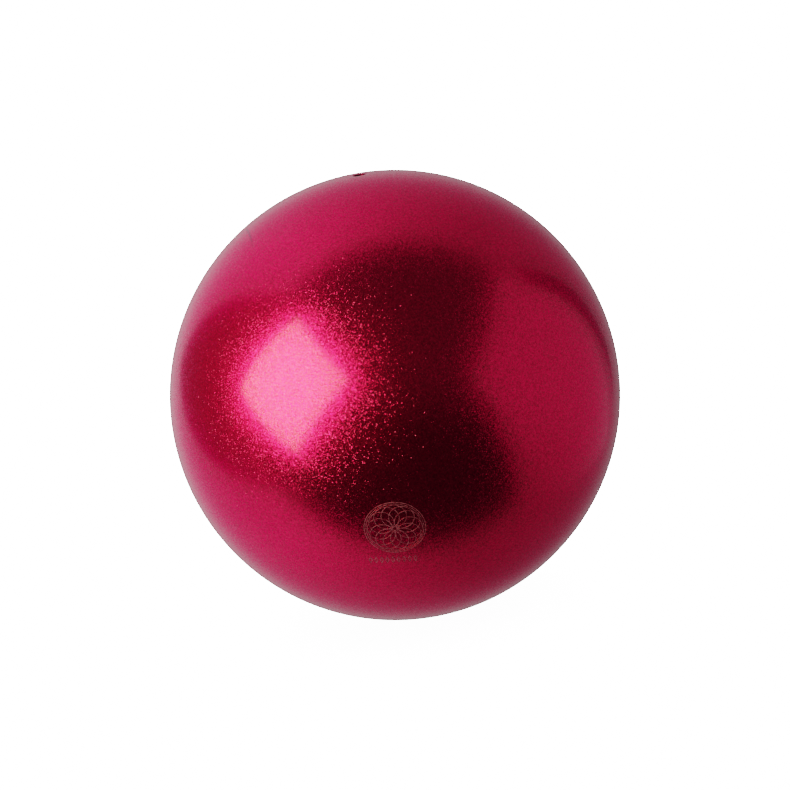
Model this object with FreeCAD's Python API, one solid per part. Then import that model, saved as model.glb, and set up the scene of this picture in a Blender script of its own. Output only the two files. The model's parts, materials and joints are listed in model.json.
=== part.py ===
import FreeCAD, Part
import math
import os

# Gymnastics ball: an inflated rubber ball with a glitter lacquer skin and a plugged valve.
#
# The origin is the ball's centre and +Z runs out of the valve. Every part of the ball itself is a solid of
# revolution about Z, drawn as a half section in (radius, height) and turned once round. The printed emblem
# lies on the outside, below the equator on the -Y side.

# ---- driving dimensions: millimetres and degrees ----
BALL_R = 90.0            # outer radius of the finished ball
COAT_T = 0.3             # glitter lacquer
WALL_T = 3.2             # rubber wall under the lacquer

MOUTH_R = 2.2            # clear hole at the valve, inside the lacquer that lines it
MOUTH_ROUND = 0.8        # the lacquer's round from the ball's surface into the mouth
LIP_DEPTH = 2.0          # from the ball's surface down to the top of the valve neck

NECK_R = 4.5             # collar of the neck, buried in the wall
NECK_TUBE_R = 3.4        # tube that hangs into the air chamber
NECK_TUBE_ROUND = 0.6    # rounded inner end of the tube
NECK_LENGTH = 15.5       # from the top of the collar to the end of the tube
FLANGE_R = 9.0           # flange that lies against the inside of the wall
FLANGE_T = 1.2
POCKET_R = 2.4           # pocket in the neck's top, which seats the plug's head
POCKET_DEPTH = 1.1
BORE_R = 1.6             # air passage through the neck

PATCH_R = 18.0           # reinforcing patch vulcanised over the flange
PATCH_T = 1.0
PATCH_EDGE_T = 0.3       # the patch's feathered rim

PLUG_HEAD_CLEARANCE = 0.1    # radial, between the plug's head and the mouth
PLUG_HEAD_ROUND = 0.2
PLUG_DISH_R = 1.2        # shallow dish in the head for the extractor's tip
PLUG_DISH_DEPTH = 0.3
PLUG_CORE_R = 1.2        # stem between its ribs
PLUG_RIB_CLEARANCE = 0.05    # radial, between the ribs and the bore
PLUG_RIBS = 4
PLUG_RIB_PITCH = 3.0
PLUG_RIB_LAND = 0.5      # straight part of each rib
PLUG_RIB_TAPER = 1.2     # its cone, which leads the rib into the bore
PLUG_TIP_R = 0.7
PLUG_TIP_LENGTH = 1.4

INK_T = 0.06             # thickness of the printed ink
EMBLEM_LATITUDE = -20.9
EMBLEM_LONGITUDE = -5.5  # from -Y towards +X
EMBLEM_TILT = -5.5       # anticlockwise is positive, seen from outside
RING_R = 11.6
RING_LINE = 0.26
INNER_RING_R = 10.9
INNER_RING_LINE = 0.18
PETALS = 12
PETAL_R = 4.8
PETAL_OFFSET = 5.6       # from the emblem's centre to a petal circle's centre
PETAL_LINE = 0.2
MARKS = 9                # row of lozenges under the ring
MARK_PITCH = 2.13
MARK_HALF_WIDTH = 0.75
MARK_HALF_HEIGHT = 1.8
MARK_LINE = 0.24
MARK_DROP = 15.5         # from the ring's centre down to the row
MARK_SHIFT = -1.8        # from under the ring's centre to the row's middle

# ---- values that follow from them ----
COAT_INNER_R = BALL_R - COAT_T
WALL_INNER_R = COAT_INNER_R - WALL_T
WALL_MOUTH_R = MOUTH_R + COAT_T
WALL_MOUTH_ROUND = MOUTH_ROUND - COAT_T
FLANGE_UNDER_R = WALL_INNER_R - FLANGE_T
PATCH_UNDER_R = FLANGE_UNDER_R - PATCH_T
NECK_TOP = BALL_R - LIP_DEPTH
NECK_END = NECK_TOP - NECK_LENGTH
HEAD_SEAT = NECK_TOP - POCKET_DEPTH
PLUG_HEAD_R = MOUTH_R - PLUG_HEAD_CLEARANCE
PLUG_RIB_R = BORE_R - PLUG_RIB_CLEARANCE

CENTRE = FreeCAD.Vector(0, 0, 0)
UP = FreeCAD.Vector(0, 0, 1)
FULL_TURN = 360.0


# ---- half sections in (radius, height) ----

def on_sphere(sphere_r, r):
    """The point at radius r on the upper half of a sphere about the origin."""
    return (r, math.sqrt(sphere_r ** 2 - r ** 2))


def lines(*points):
    return [("line", a, b) for a, b in zip(points, points[1:])]


def cap_arc(sphere_r, start, end):
    """Arc of a centred sphere's section between two points near its top."""
    sides = [(a + b) / 2 for a, b in zip(start, end)]
    scale = sphere_r / math.hypot(*sides)
    return ("arc", start, (sides[0] * scale, sides[1] * scale), end)


def shell_arc(sphere_r, start, end):
    """Arc of a centred sphere's section that passes its equator."""
    return ("arc", start, (sphere_r, 0.0), end)


def quarter_round(start, corner, end):
    """Tangent round from start to end, in place of the square corner between them."""
    centre = [a + b - c for a, b, c in zip(start, end, corner)]
    middle = tuple(m + (c - m) * math.sqrt(0.5) for m, c in zip(centre, corner))
    return ("arc", start, middle, end)


def turned(section):
    """The solid that a closed half section sweeps in one turn about Z."""
    edges = []
    for kind, *points in section:
        corners = [FreeCAD.Vector(r, 0, z) for r, z in points]
        curve = Part.LineSegment(*corners) if kind == "line" else Part.Arc(*corners)
        edges.append(curve.toShape())
    return Part.Face(Part.Wire(edges)).revolve(CENTRE, UP, FULL_TURN)


# ---- the ball ----

def mouth_round(sphere_r, hole_r, round_r):
    """Ends and corner of a round between a sphere and the hole along Z that opens in it."""
    rim = on_sphere(sphere_r, hole_r + round_r)
    return rim, (hole_r, rim[1]), (hole_r, rim[1] - round_r)


def glitter_coat():
    """Lacquer skin, which rolls over the mouth's rim and lines it down to the valve's neck."""
    rim, corner, hole_top = mouth_round(BALL_R, MOUTH_R, MOUTH_ROUND)
    back_rim, back_corner, back_top = mouth_round(COAT_INNER_R, WALL_MOUTH_R, WALL_MOUTH_ROUND)
    bottom = (0.0, -BALL_R)
    back_bottom = (0.0, -COAT_INNER_R)
    return turned([
        shell_arc(BALL_R, rim, bottom),
        *lines(bottom, back_bottom),
        shell_arc(COAT_INNER_R, back_bottom, back_rim),
        quarter_round(back_rim, back_corner, back_top),
        *lines(back_top, (WALL_MOUTH_R, NECK_TOP), (MOUTH_R, NECK_TOP), hole_top),
        quarter_round(hole_top, corner, rim),
    ])


def ball_wall():
    """Moulded rubber wall. Its hole steps down from the mouth to the wider seat of the neck's collar."""
    rim, corner, hole_top = mouth_round(COAT_INNER_R, WALL_MOUTH_R, WALL_MOUTH_ROUND)
    collar_end = on_sphere(WALL_INNER_R, NECK_R)
    bottom = (0.0, -COAT_INNER_R)
    inner_bottom = (0.0, -WALL_INNER_R)
    return turned([
        shell_arc(COAT_INNER_R, rim, bottom),
        *lines(bottom, inner_bottom),
        shell_arc(WALL_INNER_R, inner_bottom, collar_end),
        *lines(collar_end, (NECK_R, NECK_TOP), (WALL_MOUTH_R, NECK_TOP), hole_top),
        quarter_round(hole_top, corner, rim),
    ])


# ---- the valve ----

def valve_neck():
    """Soft tube with a collar in the wall, a flange inside it, and a pocket for the plug's head."""
    collar_end = on_sphere(WALL_INNER_R, NECK_R)
    flange_rim = on_sphere(WALL_INNER_R, FLANGE_R)
    flange_under_rim = on_sphere(FLANGE_UNDER_R, FLANGE_R)
    flange_root = on_sphere(FLANGE_UNDER_R, NECK_TUBE_R)
    round_start = (NECK_TUBE_R, NECK_END + NECK_TUBE_ROUND)
    round_end = (NECK_TUBE_R - NECK_TUBE_ROUND, NECK_END)
    pocket_top = (POCKET_R, NECK_TOP)
    return turned([
        *lines(pocket_top, (NECK_R, NECK_TOP), collar_end),
        cap_arc(WALL_INNER_R, collar_end, flange_rim),
        *lines(flange_rim, flange_under_rim),
        cap_arc(FLANGE_UNDER_R, flange_under_rim, flange_root),
        *lines(flange_root, round_start),
        quarter_round(round_start, (NECK_TUBE_R, NECK_END), round_end),
        *lines(round_end, (BORE_R, NECK_END), (BORE_R, HEAD_SEAT), (POCKET_R, HEAD_SEAT), pocket_top),
    ])


def valve_patch():
    """Rubber disc over the flange, thinning out to a feathered rim on the wall."""
    hole_top = on_sphere(FLANGE_UNDER_R, NECK_TUBE_R)
    flange_under_rim = on_sphere(FLANGE_UNDER_R, FLANGE_R)
    flange_rim = on_sphere(WALL_INNER_R, FLANGE_R)
    patch_rim = on_sphere(WALL_INNER_R, PATCH_R)
    patch_under_rim = on_sphere(WALL_INNER_R - PATCH_EDGE_T, PATCH_R)
    slope_end = on_sphere(PATCH_UNDER_R, FLANGE_R + PATCH_T)
    hole_bottom = on_sphere(PATCH_UNDER_R, NECK_TUBE_R)
    return turned([
        cap_arc(FLANGE_UNDER_R, hole_top, flange_under_rim),
        *lines(flange_under_rim, flange_rim),
        cap_arc(WALL_INNER_R, flange_rim, patch_rim),
        *lines(patch_rim, patch_under_rim, slope_end),
        cap_arc(PATCH_UNDER_R, slope_end, hole_bottom),
        *lines(hole_bottom, hole_top),
    ])


def plug_stem():
    """Outline of the ribbed stem, from under the head down to the middle of its tip."""
    points = [(PLUG_CORE_R, HEAD_SEAT)]
    for rib in range(PLUG_RIBS):
        taper_end = HEAD_SEAT - PLUG_RIB_PITCH * (rib + 1)
        land_end = taper_end + PLUG_RIB_TAPER
        land_top = land_end + PLUG_RIB_LAND
        points += [
            (PLUG_CORE_R, land_top),
            (PLUG_RIB_R, land_top),
            (PLUG_RIB_R, land_end),
            (PLUG_CORE_R, taper_end),
        ]
    tip = points[-1][1] - PLUG_TIP_LENGTH
    return points + [(PLUG_TIP_R, tip), (0.0, tip)]


def valve_plug():
    """Stopper with a dished head, flush with the neck's top. It pulls straight out along +Z."""
    stem = plug_stem()
    under_head = (PLUG_HEAD_R, HEAD_SEAT)
    round_start = (PLUG_HEAD_R - PLUG_HEAD_ROUND, NECK_TOP)
    round_end = (PLUG_HEAD_R, NECK_TOP - PLUG_HEAD_ROUND)
    dish_floor = (0.0, NECK_TOP - PLUG_DISH_DEPTH)
    dish_side = (PLUG_DISH_R / 2, NECK_TOP - PLUG_DISH_DEPTH * 0.75)
    dish_rim = (PLUG_DISH_R, NECK_TOP)
    return turned([
        *lines(under_head, *stem, dish_floor),
        ("arc", dish_floor, dish_side, dish_rim),
        *lines(dish_rim, round_start),
        quarter_round(round_start, (PLUG_HEAD_R, NECK_TOP), round_end),
        *lines(round_end, under_head),
    ])


# ---- the print: drawn about Z with +Y as its top, then turned to its place ----

def ring(x, y, r, line_width):
    """Tube along Z whose wall is centred on radius r."""
    low = FreeCAD.Vector(x, y, BALL_R / 2)
    outer = Part.makeCylinder(r + line_width / 2, BALL_R, low)
    return outer.cut(Part.makeCylinder(r - line_width / 2, BALL_R, low))


def diamond(x, y, half_width, half_height):
    """Upright diamond, as a prism along Z."""
    corners = [(half_width, 0), (0, half_height), (-half_width, 0), (0, -half_height), (half_width, 0)]
    outline = [FreeCAD.Vector(x + dx, y + dy, BALL_R / 2) for dx, dy in corners]
    return Part.Face(Part.makePolygon(outline)).extrude(UP * BALL_R)


def lozenge(x, y):
    """Diamond drawn with an even line."""
    slant = math.hypot(MARK_HALF_WIDTH, MARK_HALF_HEIGHT)
    inner_share = 1 - MARK_LINE * slant / (MARK_HALF_WIDTH * MARK_HALF_HEIGHT)
    outer = diamond(x, y, MARK_HALF_WIDTH, MARK_HALF_HEIGHT)
    return outer.cut(diamond(x, y, MARK_HALF_WIDTH * inner_share, MARK_HALF_HEIGHT * inner_share))


def rosette():
    petals = []
    for petal in range(PETALS):
        angle = 2 * math.pi * petal / PETALS
        x = PETAL_OFFSET * math.cos(angle)
        y = PETAL_OFFSET * math.sin(angle)
        petals.append(ring(x, y, PETAL_R, PETAL_LINE))
    return petals[0].fuse(petals[1:])


def emblem_print():
    """Ink film: what the strokes take out of a thin shell on the ball."""
    strokes = [ring(0, 0, RING_R, RING_LINE), ring(0, 0, INNER_RING_R, INNER_RING_LINE), rosette()]
    for mark in range(MARKS):
        strokes.append(lozenge(MARK_SHIFT + MARK_PITCH * (mark - (MARKS - 1) / 2), -MARK_DROP))
    shell = Part.makeSphere(BALL_R + INK_T).cut(Part.makeSphere(BALL_R))
    film = Part.Compound([solid for stroke in strokes for solid in shell.common(stroke).Solids])
    roll = FreeCAD.Rotation(UP, EMBLEM_TILT)
    lean = FreeCAD.Rotation(FreeCAD.Vector(1, 0, 0), 90 - EMBLEM_LATITUDE)
    turn = FreeCAD.Rotation(UP, EMBLEM_LONGITUDE)
    film.Placement = FreeCAD.Placement(CENTRE, turn * lean * roll)
    return film


def main():
    nodes = {
        "glitter_coat": glitter_coat(),
        "ball_wall": ball_wall(),
        "valve_neck": valve_neck(),
        "valve_patch": valve_patch(),
        "valve_plug": valve_plug(),
        "emblem_print": emblem_print(),
    }
    os.makedirs("parts", exist_ok=True)
    for name, shape in nodes.items():
        if not shape.isValid():
            raise ValueError(name + " is not a valid solid")
        shape.exportStep("parts/" + name + ".step")
        print(name, len(shape.Solids), "solids,", round(shape.Volume / 1000, 3), "cm3")


main()
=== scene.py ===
"""Looks of the gymnastics ball: lacquer, valve, print and studio. Metres, in the CAD frame."""

import json
import math

import bpy
from mathutils import Matrix, Vector


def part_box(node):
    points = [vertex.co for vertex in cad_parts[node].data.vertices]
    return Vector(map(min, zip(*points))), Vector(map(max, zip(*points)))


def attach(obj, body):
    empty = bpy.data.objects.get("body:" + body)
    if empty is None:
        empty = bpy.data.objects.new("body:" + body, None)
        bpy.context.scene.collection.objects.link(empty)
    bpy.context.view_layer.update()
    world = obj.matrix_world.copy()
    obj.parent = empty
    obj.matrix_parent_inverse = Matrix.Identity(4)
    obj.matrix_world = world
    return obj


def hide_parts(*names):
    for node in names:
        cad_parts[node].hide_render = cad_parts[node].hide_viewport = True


MM = 0.001

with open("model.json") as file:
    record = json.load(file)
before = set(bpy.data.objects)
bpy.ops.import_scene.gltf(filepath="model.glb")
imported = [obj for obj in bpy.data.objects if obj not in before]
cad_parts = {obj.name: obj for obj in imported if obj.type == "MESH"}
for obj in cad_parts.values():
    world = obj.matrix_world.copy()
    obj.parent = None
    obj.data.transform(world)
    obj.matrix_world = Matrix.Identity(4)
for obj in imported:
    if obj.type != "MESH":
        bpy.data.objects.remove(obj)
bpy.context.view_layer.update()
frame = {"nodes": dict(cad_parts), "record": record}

# ---- sizes, from the frame where it holds them ----
BALL_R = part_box("glitter_coat")[1].x
COAT_T = BALL_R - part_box("ball_wall")[1].x
NECK_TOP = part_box("valve_neck")[1].z
mounts = {mount["name"]: mount for mount in frame["record"]["mounts"]}
MOUTH_R = mounts["valve_mouth"]["dims"]["r_mm"] * MM
MOUTH_ROUND = 0.8 * MM
FLOOR_Z = -BALL_R

# ---- the skin's mesh ----
TURN_STEPS = 256         # round Z
SPHERE_STEPS = 128       # from the mouth to the bottom
ROUND_STEPS = 6
ON_AXIS = 1e-9           # a point nearer to Z than this lies on it

# ---- glitter ----
FLAKE = 0.22 * MM        # typical width of one flake
FLAKE_LEAN = 0.06        # how far most flakes lie off the surface, as a slope
STRAY_LEAN = 0.31        # further slope of the one that stands out most
STRAY_POWER = 5.6        # higher means that fewer stand out
THICK_PATCH = 0.8 * MM   # size of the patches where the flakes lie thicker
THICK_SHARE = 0.27       # how much of a flake's shade comes from its patch

# ---- colours of the lacquer, linear ----
FLAKE_DARK = (0.15, 0.0007, 0.0125, 1)
FLAKE_LIGHT = (0.77, 0.0038, 0.06, 1)
STRAY_COLOUR = (0.12, 0.0058, 0.021, 1)
# painted shade along the hairline crease, drawn darker than the flakes
CREASE_SHADE_COLOUR = (0.06, 0.002, 0.008, 1)
# painted shade inside the valve's mouth, drawn nearly black
MOUTH_SHADE_COLOUR = (0.03, 0.0005, 0.004, 1)
EDGE_TINT = (1.0, 0.45, 0.6, 1)
GLOSS = 0.3              # weight of the clear coat over the flakes
SHADED_MOUTH_FADE = (1 / 3, 1.3)     # how far past the mouth's wall the painted shade fades out, in rim rounds

# ---- hairline crease in the lacquer, drawn as a line of painted shade: latitude and longitude from -Y towards +X, in degrees ----
CREASE_START = (58.0, -88.4)
CREASE_END = (53.5, -57.0)
CREASE_BOW = 0.012       # how far it bows up between its ends, as a share of the ball's radius
CREASE_WIDTH = 1.3 * MM
CREASE_SHADE_STRENGTH = 0.9       # how much of the painted shade shows where the crease is deepest
CREASE_TAIL = 0.4        # its depth at the far end, as a share of the deepest
CREASE_FADE = 0.4        # how far in from its ends it fades, as a share of its bulge

# ---- rubber: node, then material, dark and light colour, roughness and size of grain ----
RUBBERS = {
    "ball_wall": ("ball_rubber", (0.16, 0.004, 0.02), (0.24, 0.008, 0.035), 0.6, 0.5 * MM),
    "valve_neck": ("valve_rubber", (0.05, 0.003, 0.01), (0.08, 0.005, 0.016), 0.5, 0.3 * MM),
    "valve_patch": ("patch_rubber", (0.012, 0.011, 0.011), (0.03, 0.028, 0.028), 0.75, 0.5 * MM),
    "valve_plug": ("plug_rubber", (0.08, 0.003, 0.012), (0.12, 0.005, 0.02), 0.5, 0.25 * MM),
}
CLOUD = 2.5              # size of a rubber's uneven patches, in grains
GLOSS_SPREAD = 0.08      # how far a rubber's roughness strays on either side
RUBBER_TINT = (1.0, 0.55, 0.8, 1)

# ---- ink ----
INK_PATCH = 0.9 * MM     # size of the patches where it lies thin
INK_THIN = (0.12, 0.004, 0.02, 1)
INK_FULL = (0.23, 0.028, 0.068, 1)
INK_EDGE = (0.35, 0.65)  # noise values between which thin turns into full
INK_ROUGHNESS = (0.38, 0.5)

NOISE_SPAN = (0.3, 0.7)  # most of a noise's values lie between these

# ---- camera: metres and degrees ----
CAMERA_DISTANCE = 1.2
CAMERA_ELEVATION = 12.5
CAMERA_ROLL = 9.2
CAMERA_LENS = 136.63     # millimetres, on a 36 mm sensor

# ---- studio: outlines, anticlockwise, by (longitude, latitude) from the camera at 0, 0 ----
SOFT_BOX = [(-23, 7), (-59, 34.5), (-84, 2), (-55, -26)]
LEFT_SHADE = [(-65, -40), (-65, 42), (-144, 5)]
RIGHT_PANEL = [(143, -7), (80, 49), (38, 8), (85, -38)]
PANEL_GAP = [(146, -1), (146, 7), (102, 46), (97, 40)]
WIDE_EDGE = 0.05         # half the width of an outline's soft edge, in radians
PANEL_EDGE = 0.03
GAP_EDGE = 0.015

# ---- studio: light levels ----
WHITE = 20.0             # what the camera shows as pure white
BOX_LIGHT = 24.0
TENT_MIDDLE = 0.79       # the tent halfway between left and right
TENT_FALL = 0.22         # times this at the far right, and divided by it at the far left
TENT_LIMITS = (0.44, 1.78)
SHADE_LEVEL = 0.33       # of the light behind it
GAP_LEVEL = 0.15

# ---- studio: light that changes between two places, then how bright it is at each. Places run from
# ---- low (-1) to high (1), or from behind the ball (-1) to the camera's side (1) ----
TENT_RISE = (-0.8, 0.6, 0.89, 1.15)
TENT_BACK = (-1.0, -0.93, 0.3, 1.0)
TENT_FAR_HALF = (-0.95, -0.4, 0.8, 1.0)
PANEL_RISE = (-0.6, 0.0, 0.5, 0.79)
FRONT_RISE = (-0.35, 0.25, 0.04, 0.12)
FRONT_EDGE = (-0.02, 0.26)     # where the dark front begins, and where it is whole
FRONT_TURN = 0.12        # how far the dark front is turned to the right

# ---- studio: colours ----
PLAIN = (1, 1, 1, 1)
SHADE_TINT = (1.0, 0.4, 0.58, 1)
BOX_TINT = (1.0, 1.85, 0.75, 1)

# ---- floor ----
FLOOR_REACH = 30.0
FLOOR_SHADOW = 0.55      # brightness of the painted shadow under the ball, as a share of white
SHADOW_REACH = 0.12
OPEN_FLOOR = 0.9         # a spot that is this open to the sky is plain white


# ---------------------------------------------------------------- meshes

def sphere_points(radius, start, end, steps):
    """Points in (radius, height) on a centred sphere, between two angles from +Z."""
    points = []
    for step in range(steps + 1):
        angle = start + (end - start) * step / steps
        points.append((radius * math.sin(angle), radius * math.cos(angle)))
    return points


def rim_points(radius, hole_r, round_r, steps):
    """Quarter round in (radius, height) from a hole's wall up onto a centred sphere."""
    rim_z = math.sqrt(radius ** 2 - (hole_r + round_r) ** 2)
    points = []
    for step in range(steps):
        angle = math.pi / 2 * step / steps
        out = hole_r + round_r * (1 - math.cos(angle))
        points.append((out, rim_z - round_r * (1 - math.sin(angle))))
    return points


def skin_profile():
    """Closed half section of the skin, from the mouth's inner wall round the ball and back inside.
    """
    inner_r = BALL_R - COAT_T
    back_hole_r = MOUTH_R + COAT_T
    back_round = MOUTH_ROUND - COAT_T
    start = math.asin((MOUTH_R + MOUTH_ROUND) / BALL_R)
    back_start = math.asin((back_hole_r + back_round) / inner_r)
    outside = [(MOUTH_R, NECK_TOP)]
    outside += rim_points(BALL_R, MOUTH_R, MOUTH_ROUND, ROUND_STEPS)
    outside += sphere_points(BALL_R, start, math.pi, SPHERE_STEPS)
    inside = [(back_hole_r, NECK_TOP)]
    inside += rim_points(inner_r, back_hole_r, back_round, ROUND_STEPS)
    inside += sphere_points(inner_r, back_start, math.pi, SPHERE_STEPS // 2)
    return outside + inside[::-1]


def turned_mesh(name, profile, steps):
    """Mesh of a closed half section turned about Z. Points on the axis become one vertex each."""
    vertices = []
    rings = []
    for radius, height in profile:
        if radius < ON_AXIS:
            rings.append([len(vertices)] * steps)
            vertices.append((0.0, 0.0, height))
            continue
        rings.append(list(range(len(vertices), len(vertices) + steps)))
        for step in range(steps):
            angle = 2 * math.pi * step / steps
            vertices.append((radius * math.cos(angle), radius * math.sin(angle), height))
    faces = []
    for ring, following in zip(rings, rings[1:] + rings[:1]):
        for step in range(steps):
            after = (step + 1) % steps
            corners = [ring[step], following[step], following[after], ring[after]]
            face = list(dict.fromkeys(corners))
            if len(face) > 2:
                faces.append(face)
    mesh = bpy.data.meshes.new(name)
    mesh.from_pydata(vertices, [], faces)
    mesh.shade_smooth()
    return mesh


def add_piece(name, mesh, material):
    piece = bpy.data.objects.new(name, mesh)
    mesh.materials.append(material)
    bpy.context.scene.collection.objects.link(piece)
    return piece


# ---------------------------------------------------------------- node trees

class Graph:
    """A material's or the world's node tree, with short calls for the nodes used here."""

    def __init__(self, tree):
        tree.nodes.clear()
        self.tree = tree

    def node(self, kind, inputs=None, **settings):
        made = self.tree.nodes.new(kind)
        for name, value in settings.items():
            setattr(made, name, value)
        for name, value in (inputs or {}).items():
            self.feed(made.inputs[name], value)
        return made

    def feed(self, socket, value):
        if isinstance(value, bpy.types.NodeSocket):
            self.tree.links.new(value, socket)
        else:
            socket.default_value = value

    def math(self, operation, first, second=0.0, third=0.0):
        inputs = {0: first, 1: second, 2: third}
        return self.node("ShaderNodeMath", inputs, operation=operation).outputs[0]

    def vector(self, operation, first, **others):
        """Vector maths. Others are second, third and scale, as far as the operation takes them."""
        sockets = {"second": 1, "third": 2, "scale": "Scale"}
        inputs = {0: first}
        for name, value in others.items():
            inputs[sockets[name]] = value
        made = self.node("ShaderNodeVectorMath", inputs, operation=operation)
        return made.outputs["Value" if operation in ("DOT_PRODUCT", "DISTANCE") else "Vector"]

    def ramp(self, value, low, high, start=0.0, end=1.0, kind="SMOOTHSTEP"):
        """Goes from start, at low, to end, at high, and stays there on either side."""
        inputs = {"Value": value, "From Min": low, "From Max": high, "To Min": start, "To Max": end}
        return self.node("ShaderNodeMapRange", inputs, interpolation_type=kind).outputs["Result"]

    def blend(self, share, first, second):
        """Number between first, where share is 0, and second, where it is 1."""
        return self.node("ShaderNodeMix", {"Factor": share, 2: first, 3: second}).outputs[0]

    def mix(self, share, first, second):
        """Colour between first, where share is 0, and second, where it is 1."""
        inputs = {"Factor": share, 6: first, 7: second}
        return self.node("ShaderNodeMix", inputs, data_type="RGBA").outputs[2]

    def place(self):
        """Where a point lies on its object."""
        return self.node("ShaderNodeTexCoord").outputs["Object"]

    def noise(self, place, size, detail):
        inputs = {"Vector": place, "Scale": 1 / size, "Detail": detail}
        return self.node("ShaderNodeTexNoise", inputs).outputs["Fac"]


def new_material(name):
    material = bpy.data.materials.new(name)
    material.use_nodes = True
    return material, Graph(material.node_tree)


def finish_material(graph, inputs):
    shader = graph.node("ShaderNodeBsdfPrincipled", inputs)
    graph.node("ShaderNodeOutputMaterial", {"Surface": shader.outputs["BSDF"]})


# ---------------------------------------------------------------- materials

def on_ball(latitude, longitude):
    """Unit vector out of the ball. Longitude runs from -Y towards +X."""
    lat, lon = math.radians(latitude), math.radians(longitude)
    return Vector((math.cos(lat) * math.sin(lon), -math.cos(lat) * math.cos(lon), math.sin(lat)))


def crease_shade_mask(graph, place):
    """1 where the painted shade along the hairline is deepest, near its start, and 0 off it. It
    fades out at both ends.
    """
    start, end = on_ball(*CREASE_START), on_ball(*CREASE_END)
    middle = (start + end).normalized()
    side = start.cross(end).normalized()
    through = (start - middle - CREASE_BOW * side).cross(end - start).normalized()
    off_plane = graph.vector("DOT_PRODUCT", place, second=through)
    across = graph.math("ABSOLUTE", graph.math("SUBTRACT", off_plane, BALL_R * through.dot(start)))
    line = graph.ramp(across, 0.0, CREASE_WIDTH / 2, 1.0, 0.0)
    limit = BALL_R * middle.dot(start)
    full = limit + CREASE_FADE * (BALL_R - limit)
    along = graph.ramp(graph.vector("DOT_PRODUCT", place, second=middle), limit, full)
    near_start = graph.vector("DOT_PRODUCT", place, second=start)
    depth = graph.ramp(near_start, BALL_R * start.dot(end), BALL_R, CREASE_TAIL, 1.0)
    return graph.math("MULTIPLY", graph.math("MULTIPLY", line, along), depth)


def shaded_mouth_mask(graph, place):
    """1 in the valve's mouth, where shade is painted and the gloss stops, and 0 on the ball."""
    off_mouth = graph.vector("DISTANCE", place, second=(0, 0, (BALL_R + NECK_TOP) / 2))
    near, far = [MOUTH_R + MOUTH_ROUND * share for share in SHADED_MOUTH_FADE]
    return graph.ramp(off_mouth, near, far, 1.0, 0.0)


def flake_normal(graph, flakes, stray):
    """Tilts each flake a little, the way that its random colour points, and a stray one further."""
    lean = graph.math("MULTIPLY_ADD", stray, STRAY_LEAN, FLAKE_LEAN)
    colour = flakes.outputs["Color"]
    direction = graph.vector("MULTIPLY_ADD", colour, second=(2, 2, 2), third=(-1, -1, -1))
    tilt = graph.vector("SCALE", direction, scale=lean)
    surface = graph.node("ShaderNodeNewGeometry").outputs["Normal"]
    return graph.vector("NORMALIZE", graph.vector("ADD", surface, second=tilt))


def flake_colour(graph, place, chance, stray):
    """Depth of colour differs from flake to flake and a little from patch to patch."""
    shade = graph.node("ShaderNodeSeparateXYZ", {"Vector": chance.outputs["Color"]}).outputs["X"]
    thick = graph.ramp(graph.noise(place, THICK_PATCH, 0.0), *NOISE_SPAN)
    deep = graph.mix(graph.blend(THICK_SHARE, shade, thick), FLAKE_DARK, FLAKE_LIGHT)
    return graph.mix(stray, deep, STRAY_COLOUR)


def glitter_lacquer():
    """Metal flakes under a thin gloss, which stops at the valve's mouth. Each flake is a cell. The
    mouth and a hairline are darkened with painted shade.
    """
    material, graph = new_material("glitter_lacquer")
    place = graph.place()
    flakes = graph.node("ShaderNodeTexVoronoi", {"Vector": place, "Scale": 1 / FLAKE}, feature="F1")
    chance = graph.node("ShaderNodeTexWhiteNoise", {"Vector": flakes.outputs["Position"]})
    stray = graph.math("POWER", chance.outputs["Value"], STRAY_POWER)
    crease_shade = graph.math("MULTIPLY", crease_shade_mask(graph, place), CREASE_SHADE_STRENGTH)
    # the hairline crease is drawn as painted shade over the flakes' colour
    crease_shaded = graph.mix(crease_shade, flake_colour(graph, place, chance, stray), CREASE_SHADE_COLOUR)
    # the valve's mouth is darkened with painted shade, and its gloss stops there
    shaded_mouth = shaded_mouth_mask(graph, place)
    finish_material(graph, {
        "Base Color": graph.mix(shaded_mouth, crease_shaded, MOUTH_SHADE_COLOUR),
        "Metallic": 1.0,
        "Roughness": 0.2,
        "Normal": flake_normal(graph, flakes, stray),
        "Specular Tint": EDGE_TINT,
        "Coat Weight": graph.ramp(shaded_mouth, 0.0, 1.0, GLOSS, 0.0),
        "Coat Roughness": 0.09,
        "Coat IOR": 1.2,
    })
    return material


def soft_rubber(name, dark, light, roughness, grain):
    """Moulded rubber: slightly uneven colour, and a fine grain in its shape and its gloss."""
    material, graph = new_material(name)
    place = graph.place()
    clouds = graph.noise(place, CLOUD * grain, 3.0)
    fine = graph.noise(place, grain, 2.0)
    bump = graph.node("ShaderNodeBump", {"Height": fine, "Strength": 0.25, "Distance": grain})
    smooth, rough = roughness - GLOSS_SPREAD, roughness + GLOSS_SPREAD
    finish_material(graph, {
        "Base Color": graph.mix(clouds, (*dark, 1), (*light, 1)),
        "Roughness": graph.ramp(fine, *NOISE_SPAN, smooth, rough, "LINEAR"),
        "Normal": bump.outputs["Normal"],
        "Specular Tint": RUBBER_TINT,
    })
    return material


def print_ink():
    """Screen-printed silvery pink ink, a little patchy."""
    material, graph = new_material("emblem_ink")
    patches = graph.noise(graph.place(), INK_PATCH, 2.0)
    finish_material(graph, {
        "Base Color": graph.mix(graph.ramp(patches, *INK_EDGE), INK_THIN, INK_FULL),
        "Metallic": 0.7,
        "Roughness": graph.ramp(patches, *NOISE_SPAN, *INK_ROUGHNESS, "LINEAR"),
    })
    return material


def paint_node(name, material):
    """Gives a CAD node's own object a better material."""
    node = frame["nodes"][name]
    for index in range(max(1, len(node.material_slots))):
        if index >= len(node.material_slots):
            node.data.materials.append(material)
        node.material_slots[index].material = material


# ---------------------------------------------------------------- camera and studio

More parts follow.
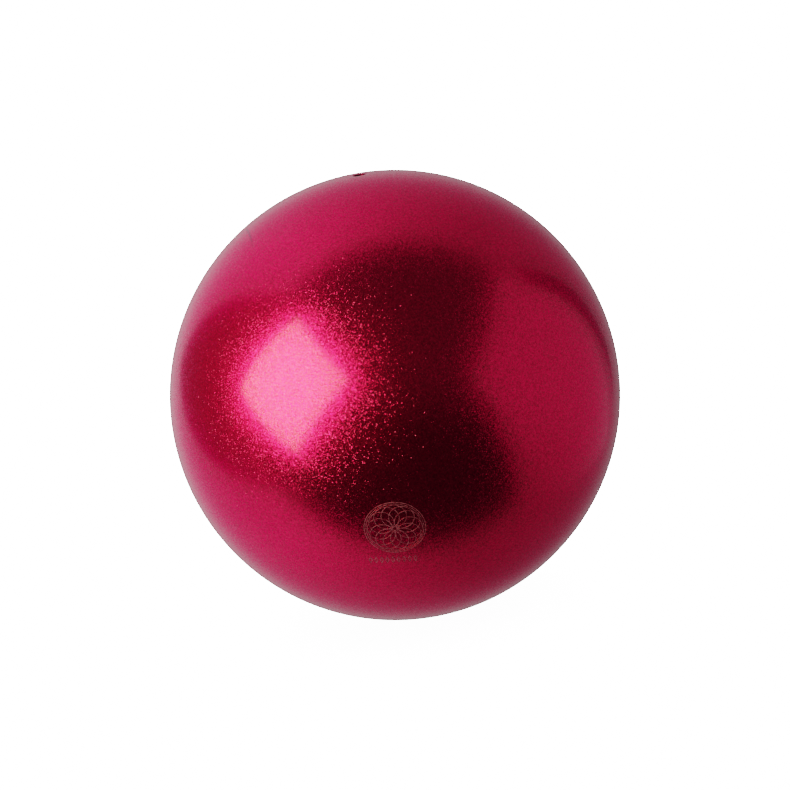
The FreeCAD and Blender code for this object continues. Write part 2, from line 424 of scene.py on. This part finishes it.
def camera_axes():
    """The camera's right, up and back. It looks along +Y and a little down, and +Z leans left."""
    elevation = math.radians(CAMERA_ELEVATION)
    roll = math.radians(CAMERA_ROLL)
    back = Vector((0, -math.cos(elevation), math.sin(elevation)))
    level_up = Vector((0, math.sin(elevation), math.cos(elevation)))
    level_right = Vector((1, 0, 0))
    right = level_right * math.cos(roll) - level_up * math.sin(roll)
    up = level_up * math.cos(roll) + level_right * math.sin(roll)
    return right, up, back


def add_camera():
    """A long lens from a little above the front, turned so that the valve is at the upper left."""
    right, up, back = camera_axes()
    data = bpy.data.cameras.new("camera")
    data.lens = CAMERA_LENS
    camera = bpy.data.objects.new("camera", data)
    turn = Matrix((right, up, back)).transposed().to_4x4()
    camera.matrix_world = Matrix.Translation(back * CAMERA_DISTANCE) @ turn
    bpy.context.scene.collection.objects.link(camera)
    bpy.context.scene.camera = camera


def toward(longitude, latitude):
    """Direction in studio axes (right, up, to the camera): 0, 0 is the camera, 90, 0 is right."""
    lon, lat = math.radians(longitude), math.radians(latitude)
    return Vector((math.cos(lat) * math.sin(lon), math.sin(lat), math.cos(lat) * math.cos(lon)))


def window(graph, ray, corners, edge):
    """1 where a ray leaves through a convex outline of studio directions, and 0 elsewhere."""
    directions = [toward(*corner) for corner in corners]
    inside = 1.0
    for start, end in zip(directions, directions[1:] + directions[:1]):
        past_side = graph.vector("DOT_PRODUCT", ray, second=start.cross(end).normalized())
        inside = graph.math("MULTIPLY", inside, graph.ramp(past_side, -edge, edge))
    return inside


def fade(graph, light, mask, level):
    """Scales the light by level where the mask is 1."""
    return graph.math("MULTIPLY", light, graph.ramp(mask, 0.0, 1.0, 1.0, level, "LINEAR"))


def tent_light(graph, across, height, nearness):
    """A white tent, brighter on the left and at the top, and dimmer straight behind the ball."""
    light = graph.math("MULTIPLY", graph.math("POWER", TENT_FALL, across), TENT_MIDDLE)
    dimmest, brightest = TENT_LIMITS
    light = graph.math("MINIMUM", graph.math("MAXIMUM", light, dimmest), brightest)
    light = graph.math("MULTIPLY", light, graph.ramp(height, *TENT_RISE))
    light = graph.math("MULTIPLY", light, graph.ramp(nearness, *TENT_BACK))
    return graph.math("MULTIPLY", light, graph.ramp(nearness, *TENT_FAR_HALF))


def dark_front(graph, light, across, height, nearness):
    """The dark side that the camera stands in, in front of the tent."""
    front = graph.math("ADD", nearness, graph.math("MULTIPLY", across, FRONT_TURN))
    return graph.blend(graph.ramp(front, *FRONT_EDGE), light, graph.ramp(height, *FRONT_RISE))


def right_panel(graph, light, ray, height):
    """A dim panel on the right, with a darker gap along its upper edge."""
    panel = window(graph, ray, RIGHT_PANEL, PANEL_EDGE)
    light = graph.blend(panel, light, graph.ramp(height, *PANEL_RISE))
    return fade(graph, light, window(graph, ray, PANEL_GAP, GAP_EDGE), GAP_LEVEL)


def studio_light():
    """Lights the ball by a studio at infinity, while the camera sees plain white behind it."""
    world = bpy.data.worlds.new("studio")
    world.use_nodes = True
    bpy.context.scene.world = world
    graph = Graph(world.node_tree)
    seen = graph.node("ShaderNodeTexCoord").outputs["Generated"]
    places = [graph.vector("DOT_PRODUCT", seen, second=axis) for axis in camera_axes()]
    across, height, nearness = places
    ray = graph.node("ShaderNodeCombineXYZ", {0: across, 1: height, 2: nearness}).outputs[0]

    left_shade = window(graph, ray, LEFT_SHADE, WIDE_EDGE)
    soft_box = window(graph, ray, SOFT_BOX, WIDE_EDGE)
    light = fade(graph, tent_light(graph, across, height, nearness), left_shade, SHADE_LEVEL)
    light = dark_front(graph, light, across, height, nearness)
    light = right_panel(graph, light, ray, height)
    light = graph.math("MULTIPLY_ADD", soft_box, BOX_LIGHT, light)
    colour = graph.mix(soft_box, graph.mix(left_shade, PLAIN, SHADE_TINT), BOX_TINT)

    studio = graph.node("ShaderNodeBackground", {"Color": colour, "Strength": light})
    backdrop = graph.node("ShaderNodeBackground", {"Color": PLAIN, "Strength": WHITE})
    straight = graph.node("ShaderNodeLightPath").outputs["Is Camera Ray"]
    parts = {0: straight, 1: studio.outputs[0], 2: backdrop.outputs[0]}
    both = graph.node("ShaderNodeMixShader", parts)
    graph.node("ShaderNodeOutputWorld", {"Surface": both.outputs[0]})


def add_floor():
    """White floor that glows as brightly as the backdrop, dimmed close to the ball by a painted
    shadow.
    """
    material, graph = new_material("floor")
    openness = graph.node("ShaderNodeAmbientOcclusion", {"Distance": SHADOW_REACH}).outputs["AO"]
    glow = graph.ramp(openness, 0.0, OPEN_FLOOR, FLOOR_SHADOW * WHITE, WHITE)
    shader = graph.node("ShaderNodeEmission", {"Strength": glow})
    graph.node("ShaderNodeOutputMaterial", {"Surface": shader.outputs[0]})
    signs = [(-1, -1), (1, -1), (1, 1), (-1, 1)]
    corners = [(x * FLOOR_REACH, y * FLOOR_REACH, FLOOR_Z) for x, y in signs]
    mesh = bpy.data.meshes.new("floor")
    mesh.from_pydata(corners, [], [(0, 1, 2, 3)])
    floor = add_piece("floor", mesh, material)
    floor.visible_glossy = False
    floor.visible_diffuse = False
    floor.visible_shadow = False


# ---------------------------------------------------------------- put together

skin_mesh = turned_mesh("lacquer_skin", skin_profile(), TURN_STEPS)
skin = add_piece("lacquer_skin", skin_mesh, glitter_lacquer())
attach(skin, "ball")
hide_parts("glitter_coat")

for node_name, look in RUBBERS.items():
    paint_node(node_name, soft_rubber(*look))
paint_node("emblem_print", print_ink())

add_floor()
studio_light()
add_camera()
bpy.context.scene.view_settings.view_transform = "Filmic"
